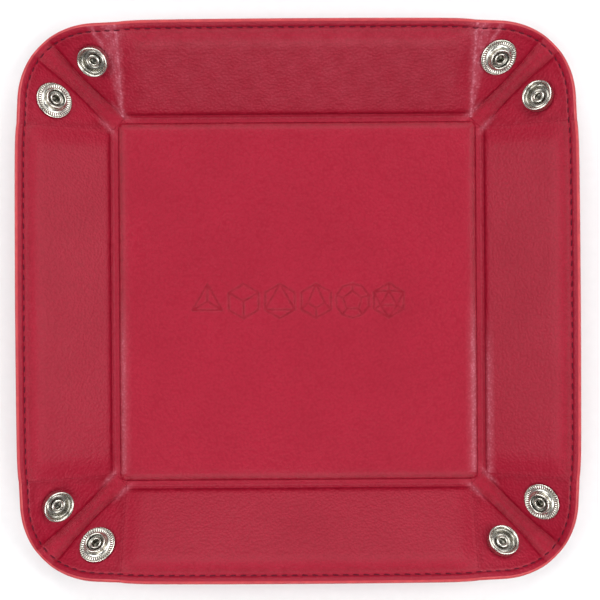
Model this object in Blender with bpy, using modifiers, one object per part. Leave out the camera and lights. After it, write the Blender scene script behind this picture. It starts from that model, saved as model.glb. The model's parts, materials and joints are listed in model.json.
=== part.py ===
"""Folding dice tray: a stiff floor, four board-stiffened walls and four snap-up corners.

The tray is one flat sheet of lined synthetic leather, about 224 mm square. Boards sewn
between the cover and the lining stiffen the floor and the walls. The corners hold no board.
Each corner has a flap at the end of either wall and a narrow pleat along the diagonal, and
a press fastener pinches the two flaps together when the walls stand up.

Frame: metres, +Z up, origin under the middle of the floor. Every outline is drawn on the
flat sheet, on its north side, and the hinge empties then fold it into the resting shape.
"""
import math

import bmesh
import bpy
from mathutils import Quaternion

MM = 0.001

# Plan of the flat sheet
FLOOR_HALF = 72.0 * MM          # tray centre to a wall's hinge axis
WALL_WIDTH = 40.6 * MM          # hinge axis to the outer edge
CORNER_RADIUS = 34.4 * MM       # rounding of the sheet's corners
CORNER_TAPER = math.radians(6.6)    # the edge turns in by this where a wall ends
PLEAT_HALF = 3.1 * MM           # half the width of the pleat between two flaps

# Layers, bottom to top
PLY = 0.7 * MM                  # one layer of synthetic leather
GAP = 0.3 * MM                  # between pieces that touch
BOARD = 1.0 * MM                # stiffening board

# Edges of the panels
HINGE_GAP = 1.1 * MM            # leather edge to a wall's hinge axis
PANEL_GAP = 2.4 * MM            # padded panel edge to a wall's hinge axis
END_GAP = 0.5 * MM              # leather edge to the line where a flap folds
CREASE_GAP = 1.0 * MM           # leather edge to a pleat's crease
PLEAT_FOOT_GAP = 0.6 * MM       # leather edge to the line where a pleat leaves the floor
CORNER_CLEARANCE = 2.2 * MM     # padded floor panel to that line
STITCH_INSET = 3.0 * MM         # outer edge to the seam
PANEL_INSET = 4.2 * MM          # outer edge to the padded panel
THREAD_WIDTH = 0.5 * MM
THREAD_HEIGHT = 0.4 * MM

# Resting pose
WALL_ANGLE = math.radians(34.0)

# Press fasteners
SNAP_FROM_END = 10.0 * MM       # fold line of the flap to the fastener's centre
SNAP_FROM_HINGE = 24.6 * MM     # wall hinge axis to the fastener's centre
RIVET_HOLE = 2.3 * MM
ROUND_STEPS = 20
HOLE_STEPS = 16
SPRING_RADIUS = 4.85 * MM
SPRING_WIRE = 0.25 * MM
SPRING_HEIGHT = 1.7 * MM
SPRING_OPENING = math.radians(24.0)

# Worked out
END_INSET = PLEAT_HALF * math.sqrt(2.0)             # hinge corner to a wall's end line
WALL_END = FLOOR_HALF - END_INSET
OUTER = FLOOR_HALF + WALL_WIDTH
SHEET = 2.0 * PLY + GAP                             # cover and lining sewn together
AXIS_HEIGHT = SHEET / 2.0
BOARD_LOW = PLY + GAP
BOARD_HIGH = BOARD_LOW + BOARD
PANEL_HIGH = BOARD_HIGH + GAP + PLY
TAPER_SLOPE = math.tan(CORNER_TAPER)
TAPER_SCALE = 1.0 / math.cos(CORNER_TAPER)
ARC_CENTRE = (OUTER + TAPER_SLOPE * WALL_END - TAPER_SCALE * CORNER_RADIUS) / (1.0 + TAPER_SLOPE)
ARC_START = math.radians(90.0) - CORNER_TAPER

SIDES = ("north", "east", "south", "west")
EAST_END = 1
WEST_END = -1

COLOURS = {
    "liner": ((0.40, 0.022, 0.045, 1.0), 0.55, 0.0),
    "cover": ((0.36, 0.015, 0.035, 1.0), 0.55, 0.0),
    "board": ((0.45, 0.42, 0.38, 1.0), 0.90, 0.0),
    "thread": ((0.20, 0.010, 0.022, 1.0), 0.70, 0.0),
    "nickel": ((0.62, 0.60, 0.56, 1.0), 0.22, 1.0),
}


# Scene

def clear_scene():
    for item in list(bpy.data.objects):
        bpy.data.objects.remove(item, do_unlink=True)


def make_collection(name):
    collection = bpy.data.collections.new(name)
    bpy.context.scene.collection.children.link(collection)
    return collection


def make_materials():
    materials = {}
    for name, (colour, roughness, metallic) in COLOURS.items():
        material = bpy.data.materials.new(name)
        material.use_nodes = True
        shader = material.node_tree.nodes["Principled BSDF"]
        shader.inputs["Base Color"].default_value = colour
        shader.inputs["Roughness"].default_value = roughness
        shader.inputs["Metallic"].default_value = metallic
        materials[name] = material
    return materials


clear_scene()
TRAY = make_collection("folding_dice_tray")
CUTTERS = make_collection("cutters")
MATERIALS = make_materials()


# Joints

def make_joint(name, parent, location, axis=(1.0, 0.0, 0.0), angle=0.0):
    joint = bpy.data.objects.new(name, None)
    joint.empty_display_size = 5.0 * MM
    joint.rotation_mode = "QUATERNION"
    joint.location = location
    joint.rotation_quaternion = Quaternion(axis, angle)
    joint.parent = parent
    TRAY.objects.link(joint)
    return joint


def flap_angle(wall_angle):
    """Fold of a flap about the wall's end, which keeps the pleat's width constant."""
    along = math.cos(wall_angle)
    across = math.sqrt(2.0) * math.sin(wall_angle)
    return math.atan2(across, along) - math.acos(1.0 / math.hypot(along, across))


# Shape tools

def extruded(outlines, low, high):
    """Mesh of flat outlines, the later ones holes in the first, between two heights."""
    curve = bpy.data.curves.new("outline", "CURVE")
    curve.dimensions = "2D"
    curve.fill_mode = "BOTH"
    curve.extrude = (high - low) / 2.0
    for points in outlines:
        spline = curve.splines.new("POLY")
        spline.points.add(len(points) - 1)
        spline.use_cyclic_u = True
        for target, (x, y) in zip(spline.points, points):
            target.co = (x, y, 0.0, 1.0)
    carrier = bpy.data.objects.new("outline", curve)
    TRAY.objects.link(carrier)
    mesh = mesh_of(carrier)
    for vertex in mesh.vertices:
        vertex.co.z += (low + high) / 2.0
    return mesh


def mesh_of(carrier):
    """Closed mesh of a curve object, which is removed."""
    bpy.context.view_layer.update()
    evaluated = carrier.evaluated_get(bpy.context.evaluated_depsgraph_get())
    mesh = bpy.data.meshes.new_from_object(evaluated)
    data = carrier.data
    bpy.data.objects.remove(carrier, do_unlink=True)
    bpy.data.curves.remove(data)
    shell = bmesh.new()
    shell.from_mesh(mesh)
    bmesh.ops.remove_doubles(shell, verts=shell.verts, dist=0.001 * MM)
    bmesh.ops.recalc_face_normals(shell, faces=shell.faces)
    shell.to_mesh(mesh)
    shell.free()
    return mesh


def place(name, mesh, material, parent, location, collection=TRAY):
    item = bpy.data.objects.new(name, mesh)
    item.parent = parent
    item.location = location
    if material:
        mesh.materials.clear()
        mesh.materials.append(MATERIALS[material])
    collection.objects.link(item)
    return item


def tool(name, mesh, parent, location):
    item = place(name, mesh, None, parent, location, CUTTERS)
    item.display_type = "WIRE"
    item.hide_render = True
    return item


def combine(item, operation, other):
    modifier = item.modifiers.new(operation.lower(), "BOOLEAN")
    modifier.operation = operation
    modifier.solver = "EXACT"
    modifier.object = other


# Outlines on the flat sheet

def rectangle(x_low, x_high, y_low, y_high):
    return [(x_low, y_low), (x_high, y_low), (x_high, y_high), (x_low, y_high)]


def cut_square(half, cut_sum):
    """Square whose corners are cut where x + y reaches cut_sum."""
    short = cut_sum - half
    corner = [(half, short), (short, half)]
    points = []
    for quarter in range(4):
        for x, y in corner:
            for _ in range(quarter):
                x, y = -y, x
            points.append((x, y))
    return points


def circle(centre_x, centre_y, radius, steps):
    turn = 2.0 * math.pi / steps
    return [(centre_x + radius * math.cos(turn * i), centre_y + radius * math.sin(turn * i))
            for i in range(steps)]


def corner_arc(inset, start, end, steps):
    """Points of the sheet's rounded corner, moved in from the edge."""
    radius = CORNER_RADIUS - inset
    points = []
    for i in range(steps + 1):
        angle = start + (end - start) * i / steps
        points.append((ARC_CENTRE + radius * math.cos(angle),
                       ARC_CENTRE + radius * math.sin(angle)))
    return points


def arc_angle(offset, inset):
    """Angle on the corner arc where y - x equals offset."""
    reach = math.sqrt(2.0) * (CORNER_RADIUS - inset)
    return math.radians(45.0) + math.asin(offset / reach)


def taper_point(x, inset):
    """Point of the sheet's tapered edge past a wall's end, moved in from the edge."""
    return (x, OUTER - TAPER_SLOPE * (x - WALL_END) - TAPER_SCALE * inset)


def mirrored(points, end):
    return [(end * x, y) for x, y in points]


CREASE_OFFSET = END_INSET + CREASE_GAP * math.sqrt(2.0)     # y - x along a flap's edge
PLEAT_OFFSET = END_INSET - CREASE_GAP * math.sqrt(2.0)      # y - x along a pleat's edge
FLAP_START = WALL_END + END_GAP


def flap_outline():
    arc_end = arc_angle(CREASE_OFFSET, 0.0)
    outline = [(FLAP_START, FLAP_START + CREASE_OFFSET)]
    outline += corner_arc(0.0, arc_end, ARC_START, 8)
    outline.append(taper_point(FLAP_START, 0.0))
    return outline


def pleat_outline():
    foot_sum = 2.0 * FLOOR_HALF - END_INSET + PLEAT_FOOT_GAP * math.sqrt(2.0)
    angle = arc_angle(PLEAT_OFFSET, 0.0)
    low_angle = math.radians(90.0) - angle
    outline = [((foot_sum - PLEAT_OFFSET) / 2.0, (foot_sum + PLEAT_OFFSET) / 2.0),
               ((foot_sum + PLEAT_OFFSET) / 2.0, (foot_sum - PLEAT_OFFSET) / 2.0)]
    outline += corner_arc(0.0, low_angle, angle, 2)
    return outline


def flap_seam():
    """Strip that the seam covers on a flap."""
    start = FLAP_START + THREAD_WIDTH
    outer_inset = STITCH_INSET - THREAD_WIDTH / 2.0
    inner_inset = STITCH_INSET + THREAD_WIDTH / 2.0
    end_offset = CREASE_OFFSET + THREAD_WIDTH
    strip = [taper_point(start, outer_inset)]
    strip += corner_arc(outer_inset, ARC_START, arc_angle(end_offset, outer_inset), 6)
    strip += corner_arc(inner_inset, arc_angle(end_offset, inner_inset), ARC_START, 6)
    strip.append(taper_point(start, inner_inset))
    return strip


# Leather, boards and thread

def make_liner(name, edge, panel, pocket, parent, location):
    """Lining that is drawn down round the board to meet the cover at the edges."""
    item = place(name, extruded([edge], BOARD_LOW, SHEET), "liner", parent, location)
    raised = extruded([panel], BOARD_LOW + GAP / 2.0, PANEL_HIGH)
    combine(item, "UNION", tool(name + "_raised", raised, parent, location))
    space = extruded([pocket], PLY - GAP, BOARD_HIGH + GAP)
    combine(item, "DIFFERENCE", tool(name + "_pocket", space, parent, location))
    return item


def make_floor():
    here = (0.0, 0.0, 0.0)
    foot_sum = 2.0 * FLOOR_HALF - END_INSET
    edge = cut_square(FLOOR_HALF - HINGE_GAP, foot_sum - PLEAT_FOOT_GAP * math.sqrt(2.0))
    panel_sum = foot_sum - CORNER_CLEARANCE * math.sqrt(2.0)
    panel_half = FLOOR_HALF - PANEL_GAP
    cut = math.sqrt(2.0)
    pocket = cut_square(panel_half - PLY, panel_sum - PLY * cut)
    board = cut_square(panel_half - PLY - GAP, panel_sum - (PLY + GAP) * cut)
    place("floor_cover", extruded([edge], 0.0, PLY), "cover", None, here)
    place("floor_board", extruded([board], BOARD_LOW, BOARD_HIGH), "board", None, here)
    make_liner("floor_liner", edge, cut_square(panel_half, panel_sum), pocket, None, here)


def make_seam(name, strip, joint, location):
    """Upper thread of the edge seam, as one low strip on the lining."""
    low = SHEET + GAP
    place(name, extruded([strip], low, low + THREAD_HEIGHT), "thread", joint, location)


def make_wall(side, joint):
    here = (0.0, -FLOOR_HALF, -AXIS_HEIGHT)
    half = WALL_END - END_GAP
    low = FLOOR_HALF + PANEL_GAP
    high = OUTER - PANEL_INSET
    edge = rectangle(-half, half, FLOOR_HALF + HINGE_GAP, OUTER)
    panel = rectangle(-half, half, low, high)
    pocket = rectangle(-half + PLY, half - PLY, low + PLY, high - PLY)
    inset = PLY + GAP
    board = rectangle(-half + inset, half - inset, low + inset, high - inset)
    seam = rectangle(-half + THREAD_WIDTH, half - THREAD_WIDTH,
                     OUTER - STITCH_INSET - THREAD_WIDTH / 2.0,
                     OUTER - STITCH_INSET + THREAD_WIDTH / 2.0)
    place(side + "_wall_cover", extruded([edge], 0.0, PLY), "cover", joint, here)
    place(side + "_wall_board", extruded([board], BOARD_LOW, BOARD_HIGH), "board", joint, here)
    make_liner(side + "_wall_liner", edge, panel, pocket, joint, here)
    make_seam(side + "_wall_thread", seam, joint, here)


def make_flap(name, end, joint):
    here = (-end * WALL_END, -FLOOR_HALF, -AXIS_HEIGHT)
    hole = circle(WALL_END + SNAP_FROM_END, FLOOR_HALF + SNAP_FROM_HINGE, RIVET_HOLE, HOLE_STEPS)
    outlines = [mirrored(flap_outline(), end), mirrored(hole, end)]
    place(name, extruded(outlines, 0.0, SHEET), "liner", joint, here)
    make_seam(name + "_thread", mirrored(flap_seam(), end), joint, here)


def make_pleat(name, joint):
    here = (-WALL_END, -FLOOR_HALF, -AXIS_HEIGHT)
    place(name, extruded([pleat_outline()], 0.0, SHEET), "liner", joint, here)


# Press fasteners: (radius, height) profiles in millimetres, heights from the flap's inner face

OUTSIDE = -SHEET / MM           # height of the flap's outer face
SOCKET = [(5.7, 0.3), (2.15, 0.3), (2.15, 0.8), (5.3, 0.8), (5.3, 2.9), (5.5, 3.2),
          (5.9, 3.2), (6.2, 2.9), (6.2, 0.8)]
STUD = [(7.25, 0.3), (3.6, 0.3), (3.6, 1.4), (2.15, 1.4), (2.15, 1.9), (3.25, 1.9),
        (3.4, 3.2), (3.95, 3.2), (4.25, 2.6), (4.1, 1.5), (4.3, 0.8), (7.25, 0.8)]
CAP = [(0.0, OUTSIDE + 0.2), (1.35, OUTSIDE + 0.2), (1.35, 1.3), (1.5, 1.6), (2.1, 1.6),
       (2.5, 1.4), (2.5, 1.1), (1.85, 1.1), (1.85, OUTSIDE - 0.3), (7.4, OUTSIDE - 0.3),
       (6.4, OUTSIDE - 1.3), (4.2, OUTSIDE - 1.9), (0.0, OUTSIDE - 2.1)]
POST = [(5.5, OUTSIDE - 0.3), (5.5, OUTSIDE - 0.9), (5.0, OUTSIDE - 1.2), (1.9, OUTSIDE - 1.2),
        (1.5, OUTSIDE - 0.9), (1.5, 2.3), (1.7, 2.6), (2.1, 2.6), (2.35, 2.4), (2.35, 2.2),
        (1.85, 2.2), (1.85, OUTSIDE - 0.3)]


def turned(name, profile, material, parent, location):
    """Solid of revolution about local Z. A profile that starts on the axis is left open."""
    mesh = bpy.data.meshes.new(name)
    points = [(radius * MM, 0.0, height * MM) for radius, height in profile]
    edges = [(i, i + 1) for i in range(len(points) - 1)]
    if profile[0][0] > 0.0:
        edges.append((len(points) - 1, 0))
    mesh.from_pydata(points, edges, [])
    item = place(name, mesh, material, parent, location)
    screw = item.modifiers.new("turn", "SCREW")
    screw.axis = "Z"
    screw.steps = ROUND_STEPS
    screw.render_steps = ROUND_STEPS
    screw.use_merge_vertices = True
    screw.merge_threshold = 0.001 * MM
    return item


def make_spring(name, parent, location):
    """Sprung wire ring, open on one side, that grips the stud."""
    curve = bpy.data.curves.new(name, "CURVE")
    curve.dimensions = "3D"
    curve.bevel_depth = SPRING_WIRE
    curve.bevel_resolution = 1
    curve.use_fill_caps = True
    spline = curve.splines.new("POLY")
    spline.points.add(ROUND_STEPS)
    span = 2.0 * math.pi - SPRING_OPENING
    for i, target in enumerate(spline.points):
        angle = SPRING_OPENING / 2.0 + span * i / ROUND_STEPS
        target.co = (SPRING_RADIUS * math.cos(angle), SPRING_RADIUS * math.sin(angle),
                     SPRING_HEIGHT, 1.0)
    carrier = bpy.data.objects.new(name, curve)
    TRAY.objects.link(carrier)
    place(name, mesh_of(carrier), "nickel", parent, location)


def snap_place(end):
    return (end * SNAP_FROM_END, SNAP_FROM_HINGE, SHEET - AXIS_HEIGHT)


def make_socket(side, joint):
    here = snap_place(WEST_END)
    turned(side + "_socket_cap", CAP, "nickel", joint, here)
    turned(side + "_socket", SOCKET, "nickel", joint, here)
    make_spring(side + "_socket_spring", joint, here)


def make_stud(side, joint):
    here = snap_place(EAST_END)
    turned(side + "_stud_post", POST, "nickel", joint, here)
    turned(side + "_stud", STUD, "nickel", joint, here)


# Assembly

def make_side(side, turn):
    """Wall with a socket flap at its left end, a stud flap and a pleat at its right end."""
    base = make_joint(side + "_base", None, (0.0, 0.0, AXIS_HEIGHT), (0.0, 0.0, 1.0), turn)
    wall = make_joint(side + "_wall_hinge", base, (0.0, FLOOR_HALF, 0.0),
                      (1.0, 0.0, 0.0), WALL_ANGLE)
    fold = flap_angle(WALL_ANGLE)
    socket_flap = make_joint(side + "_socket_flap_hinge", wall, (-WALL_END, 0.0, 0.0),
                             (0.0, -1.0, 0.0), fold)
    stud_flap = make_joint(side + "_stud_flap_hinge", wall, (WALL_END, 0.0, 0.0),
                           (0.0, 1.0, 0.0), fold)
    pleat = make_joint(side + "_pleat_hinge", stud_flap, (0.0, 0.0, 0.0),
                       (-1.0, -1.0, 0.0), WALL_ANGLE)
    make_wall(side, wall)
    make_flap(side + "_socket_flap", WEST_END, socket_flap)
    make_flap(side + "_stud_flap", EAST_END, stud_flap)
    make_pleat(side + "_pleat", pleat)
    make_socket(side, socket_flap)
    make_stud(side, stud_flap)


def main():
    make_floor()
    for number, side in enumerate(SIDES):
        make_side(side, -math.pi / 2.0 * number)
    bpy.context.view_layer.update()


main()
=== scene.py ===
"""Looks of the folding dice tray: grained leather over boards, a sewn edge and nickel snaps.

Every outline is drawn on the flat sheet, in the north-east quarter with z measured from the
middle of the two sewn layers, and fold() carries it into the resting shape. Metres, +Z up.
"""
import json
import math

import bmesh
import bpy
import numpy as np
from mathutils import Matrix, Vector


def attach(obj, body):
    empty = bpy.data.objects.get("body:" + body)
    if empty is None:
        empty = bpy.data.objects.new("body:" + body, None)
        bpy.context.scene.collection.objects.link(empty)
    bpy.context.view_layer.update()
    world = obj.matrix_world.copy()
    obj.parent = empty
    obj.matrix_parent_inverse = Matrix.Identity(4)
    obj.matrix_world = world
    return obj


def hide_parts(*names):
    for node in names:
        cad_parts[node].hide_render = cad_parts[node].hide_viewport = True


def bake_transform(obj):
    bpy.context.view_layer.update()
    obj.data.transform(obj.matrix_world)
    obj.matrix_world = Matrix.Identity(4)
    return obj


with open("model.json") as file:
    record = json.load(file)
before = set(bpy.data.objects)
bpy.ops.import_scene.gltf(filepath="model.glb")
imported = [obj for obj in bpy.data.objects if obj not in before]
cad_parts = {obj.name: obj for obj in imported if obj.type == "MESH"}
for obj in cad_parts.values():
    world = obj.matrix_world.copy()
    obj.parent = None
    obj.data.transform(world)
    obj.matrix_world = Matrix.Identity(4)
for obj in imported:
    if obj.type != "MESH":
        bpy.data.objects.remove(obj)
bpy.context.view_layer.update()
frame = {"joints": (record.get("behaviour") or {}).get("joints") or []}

MM = 0.001
SIDES = ("north", "east", "south", "west")
JOINTS = {joint["name"]: joint for joint in frame["joints"]}

# The flat sheet, from the frame
HINGE = JOINTS["north_wall_hinge"]["pos_m"]
FLAP_JOINT = JOINTS["north_stud_flap_hinge"]
FLOOR_HALF = HINGE[1]                       # tray centre to a wall's hinge
AXIS_HEIGHT = HINGE[2]                      # middle of the sewn layers above the table
WALL_END = FLAP_JOINT["pos_m"][0]           # tray centre to the line where a flap folds
WALL_ANGLE = math.atan2(FLAP_JOINT["axis"][2], FLAP_JOINT["axis"][1])
END_INSET = FLOOR_HALF - WALL_END
PLEAT_HALF = END_INSET / math.sqrt(2.0)
OUTER = FLOOR_HALF + 40.6 * MM              # tray centre to the outer edge
CORNER_RADIUS = 40.0 * MM
TAPER = math.radians(8.5)                   # the edge turns in by this where a wall ends
TAPER_SLOPE = math.tan(TAPER)
TAPER_SCALE = 1.0 / math.cos(TAPER)
ARC_CENTRE = (OUTER + TAPER_SLOPE * WALL_END - TAPER_SCALE * CORNER_RADIUS) / (1.0 + TAPER_SLOPE)
ARC_START = math.radians(90.0) - TAPER
SNAP = np.array([WALL_END + 10.0 * MM, FLOOR_HALF + 24.6 * MM])

# Layers
SKIN = AXIS_HEIGHT                          # half of the two sewn layers
PANEL_RISE = 1.3 * MM                       # a padded panel above the sewn layers
PANEL_ROLL = 2.4 * MM                       # width of the rounded edge of a panel
PANEL_GAP = 2.0 * MM                        # panel to a wall's hinge
LINING = 0.75 * MM                          # thickness of the lining
EDGE_ROUND = 1.0 * MM                       # rounding of the painted outer edge
SEAM_INSET = 3.1 * MM                       # outer edge to the seam
STITCH_PITCH = 3.9 * MM
HINGE_SOFT = 1.7 * MM                       # a wall's hinge bends this far to either side
END_SOFT = 1.3 * MM                         # and the fold at a wall's end this far
PLEAT_SAG = 1.3 * MM                        # depth of a pleat between its creases
CORE_INSET = 3.2 * MM                       # a wall's hinge to the edge of a board
STAGE_DROP = 0.12 * MM                      # the stage lies this far below z = 0
BOW = 1.0 * MM                              # how far a wall's outer edge bows out


# Folding

def turn_about(point, axis, angle):
    there = Matrix.Translation(point)
    return there @ Matrix.Rotation(angle, 4, axis) @ there.inverted()


def flap_angle(wall_angle):
    """Turn of a flap about the wall's end when the walls stand at this angle."""
    along = math.cos(wall_angle)
    across = math.sqrt(2.0) * math.sin(wall_angle)
    return math.atan2(across, along) - math.acos(1.0 / math.hypot(along, across))


CORNER = Vector((WALL_END, FLOOR_HALF, 0.0))
TO_WALL = turn_about(Vector((0.0, FLOOR_HALF, 0.0)), Vector((1.0, 0.0, 0.0)), WALL_ANGLE)
TO_FLAP = TO_WALL @ turn_about(CORNER, Vector((0.0, 1.0, 0.0)), flap_angle(WALL_ANGLE))
TO_PLEAT = TO_FLAP @ turn_about(CORNER, Vector((-1.0, -1.0, 0.0)), WALL_ANGLE)


def moved(matrix, points):
    array = np.array(matrix)
    return points @ array[:3, :3].T + array[:3, 3]


def swapped(points):
    """Mirror image across the diagonal."""
    return points[:, [1, 0, 2]]


def ease(t):
    """Smooth step from 0 to 1."""
    t = np.clip(t, 0.0, 1.0)
    return t * t * (3.0 - 2.0 * t)


def side_of(distance, width):
    """0 on one side of a fold and 1 on the other, easing over width on either side."""
    return ease(distance / (2.0 * width) + 0.5)


def along_diagonal(x, y):
    """Distance out from the foot of a pleat."""
    return (x + y - 2.0 * FLOOR_HALF + END_INSET) / math.sqrt(2.0)


def crease_shift(along):
    """How far a pleat's crease lies beyond its hinge: an hourglass along the diagonal."""
    return -0.15 * MM + 0.0027 / MM * (along - 17.0 * MM) ** 2


def flap_points(points):
    """Points of a flap, curved so that it meets its pleat along the hourglass crease."""
    x, y = points[:, 0], points[:, 1]
    along = along_diagonal(x, y)
    away = (y - x) / math.sqrt(2.0) - PLEAT_HALF
    reach = (1.0 - ease(away / (9.0 * MM))) * ease((x - WALL_END) / (5.0 * MM))
    shift = crease_shift(along) * reach
    turn = (np.array(TO_PLEAT) - np.array(TO_FLAP))[:3, :3]
    offset = turn @ np.array([-1.0, 1.0, 0.0]) / math.sqrt(2.0)
    return moved(TO_FLAP, points) + shift[:, None] * offset


def bowed(points):
    """Flat points with each wall's outer edge drawn out a little in the middle."""
    result = points.copy()
    for along, across in ((0, 1), (1, 0)):
        share = np.minimum(1.0, np.abs(points[:, along]) / WALL_END)
        middle = 0.65 * (1.0 - share ** 16) + 0.35 * (1.0 - share ** 2)
        rise = np.clip((points[:, across] - FLOOR_HALF) / (OUTER - FLOOR_HALF), 0.0, 1.0)
        result[:, across] += BOW * middle * rise
    return result


def fold_quarter(points):
    """North-east quarter of the flat sheet, folded: each point follows the panels near it."""
    x, y = points[:, 0], points[:, 1]
    along = along_diagonal(x, y)
    diagonal = (y - x) / math.sqrt(2.0)
    reach_n = ease((x - WALL_END) / (5.0 * MM))
    reach_e = ease((y - WALL_END) / (5.0 * MM))
    soft = 0.7 * MM + 0.05 * np.abs(along - 20.0 * MM)
    on_north = side_of(y - FLOOR_HALF, HINGE_SOFT)
    on_east = side_of(x - FLOOR_HALF, HINGE_SOFT)
    past_north_end = side_of(x - WALL_END, END_SOFT)
    past_east_end = side_of(y - WALL_END, END_SOFT)
    past_foot = side_of(along, END_SOFT)
    north_crease = diagonal - PLEAT_HALF - crease_shift(along) * reach_n
    east_crease = -diagonal - PLEAT_HALF - crease_shift(along) * reach_e
    on_north_flap = side_of(north_crease, soft)
    on_east_flap = side_of(east_crease, soft)
    weights = np.stack([
        (1.0 - on_north) * (1.0 - on_east) * (1.0 - past_foot),
        on_north * (1.0 - past_north_end),
        past_north_end * on_north_flap,
        (1.0 - on_north_flap) * (1.0 - on_east_flap) * past_foot,
        past_east_end * on_east_flap,
        on_east * (1.0 - past_east_end)])
    weights = weights / weights.sum(axis=0)
    points = bowed(points)
    mirror = swapped(points)
    places = np.stack([
        points,
        moved(TO_WALL, points),
        flap_points(points),
        moved(TO_PLEAT, points),
        swapped(flap_points(mirror)),
        swapped(moved(TO_WALL, mirror))])
    return np.einsum("kn,knd->nd", weights, places)


def valley(x, y):
    """How far a pleat sags between its two creases."""
    along = along_diagonal(x, y)
    share = (y - x) / math.sqrt(2.0) / (PLEAT_HALF + crease_shift(along))
    return PLEAT_SAG * np.maximum(0.0, 1.0 - share ** 2) * ease((along - 2.0 * MM) / (10.0 * MM))


def fold(points):
    """Flat points on any quarter of the sheet, folded and stood on the table."""
    sign = np.where(points[:, :2] < 0.0, -1.0, 1.0)
    quarter = points.copy()
    quarter[:, :2] *= sign
    quarter[:, 2] -= valley(quarter[:, 0], quarter[:, 1])
    folded = fold_quarter(quarter)
    folded[:, :2] *= sign
    folded[:, 2] += AXIS_HEIGHT
    return folded


# Distances on the flat sheet, all for the north-east quarter

def edge_distance(x, y):
    """Distance in from the outer edge."""
    straight_n = OUTER - y
    straight_e = OUTER - x
    taper_n = (OUTER - TAPER_SLOPE * (x - WALL_END) - y) / TAPER_SCALE
    taper_e = (OUTER - TAPER_SLOPE * (y - WALL_END) - x) / TAPER_SCALE
    distance = np.minimum(np.minimum(straight_n, straight_e), np.minimum(taper_n, taper_e))
    arc = CORNER_RADIUS - np.hypot(x - ARC_CENTRE, y - ARC_CENTRE)
    angle = np.arctan2(y - ARC_CENTRE, x - ARC_CENTRE)
    on_arc = (angle > TAPER) & (angle < ARC_START) & (x > ARC_CENTRE) & (y > ARC_CENTRE)
    return np.where(on_arc, arc, distance)


def floor_inset(x, y):
    """Distance in from the edge of the floor's panel, which is cut off at the pleats."""
    foot = (2.0 * FLOOR_HALF - END_INSET - x - y) / math.sqrt(2.0) - 0.4 * MM
    return np.minimum(FLOOR_HALF - PANEL_GAP - np.maximum(x, y), foot)


def panel_distance(x, y):
    """Distance in from the nearest hinge-side edge of a padded panel, negative in the gutter."""
    floor = floor_inset(x, y)
    north = np.minimum(y - FLOOR_HALF - PANEL_GAP, 0.5 * (WALL_END + 3.0 * MM - x))
    east = np.minimum(x - FLOOR_HALF - PANEL_GAP, 0.5 * (WALL_END + 3.0 * MM - y))
    return np.maximum(floor, np.maximum(north, east))


def wall_pad(along, across):
    """1 over a wall's padding, fading gently towards the seam and the wall's ends."""
    to_seam = (OUTER - 3.4 * MM - across) / (6.0 * MM)
    to_end = (WALL_END + 1.5 * MM - along) / (9.0 * MM)
    return rounded(across - FLOOR_HALF - PANEL_GAP, PANEL_ROLL) * ease(to_seam) * ease(to_end)


def pad(x, y):
    """Height of the padding, from 0 on the sewn leather to 1 on a panel."""
    inside = floor_inset(x, y)
    floor = 0.45 * rounded(inside, 1.0 * MM) + 0.55 * ease(inside / (3.4 * MM))
    return np.maximum(floor, np.maximum(wall_pad(x, y), wall_pad(y, x)))


def waves(x, y):
    """Slow unevenness of leather laid over board, between about -1 and 1."""
    kx, ky = x / MM, y / MM
    return (0.35 * np.sin(0.11 * kx + 0.07 * ky + 1.3) + 0.25 * np.sin(-0.09 * kx + 0.16 * ky + 4.0)
            + 0.22 * np.sin(0.23 * kx - 0.05 * ky + 2.2) + 0.18 * np.sin(0.19 * kx + 0.27 * ky + 0.4))


def rounded(distance, reach):
    """Quarter circle from 0 at the edge to 1 at reach."""
    t = np.clip(distance / reach, 0.0, 1.0)
    return np.sqrt(np.maximum(0.0, 1.0 - (1.0 - t) ** 2))


def groove(distance, width):
    """1 on a line, fading to 0 on either side."""
    return np.exp(-(distance / width) ** 2)


def top_height(x, y):
    """Height of the lining's face over the middle of the sewn layers."""
    ax, ay = np.abs(x), np.abs(y)
    inset = edge_distance(ax, ay)
    padding = pad(ax, ay)
    height = SKIN * rounded(inset, EDGE_ROUND)
    height = height + 0.10 * MM * groove(inset - 1.9 * MM, 0.7 * MM)
    height = height - 0.30 * MM * groove(inset - SEAM_INSET, 0.40 * MM)
    height = height + padding * (PANEL_RISE + 0.08 * MM * waves(x, y))
    crown = ease((FLOOR_HALF - PANEL_GAP - np.maximum(ax, ay)) / (26.0 * MM))
    height = height + 0.22 * MM * crown
    along = along_diagonal(ax, ay)
    fold_line = np.abs(ay - ax) / math.sqrt(2.0) - PLEAT_HALF - crease_shift(along)
    creased = ease((along - 2.0 * MM) / (7.0 * MM)) * (ease((inset - 2.0 * MM) / (5.0 * MM)))
    height = height - 0.55 * MM * groove(fold_line, 0.65 * MM) * creased
    for snap in (SNAP, SNAP[::-1]):
        reach = np.hypot(ax - snap[0], ay - snap[1])
        height = height - 0.18 * MM * (1.0 - ease((reach - 6.2 * MM) / (2.2 * MM)))
    return height


def low_height(x, y):
    """Height of the cover's face."""
    inset = edge_distance(np.abs(x), np.abs(y))
    height = SKIN * rounded(inset, EDGE_ROUND)
    return -(height - 0.25 * MM * groove(inset - SEAM_INSET, 0.40 * MM))


# Mesh building

def quarter_turn(points, number):
    """Points of the north side, carried round to side number."""
    angle = -math.pi / 2.0 * number
    c, s = math.cos(angle), math.sin(angle)
    turn = np.array([[c, -s, 0.0], [s, c, 0.0], [0.0, 0.0, 1.0]])
    return points @ turn.T


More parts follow.
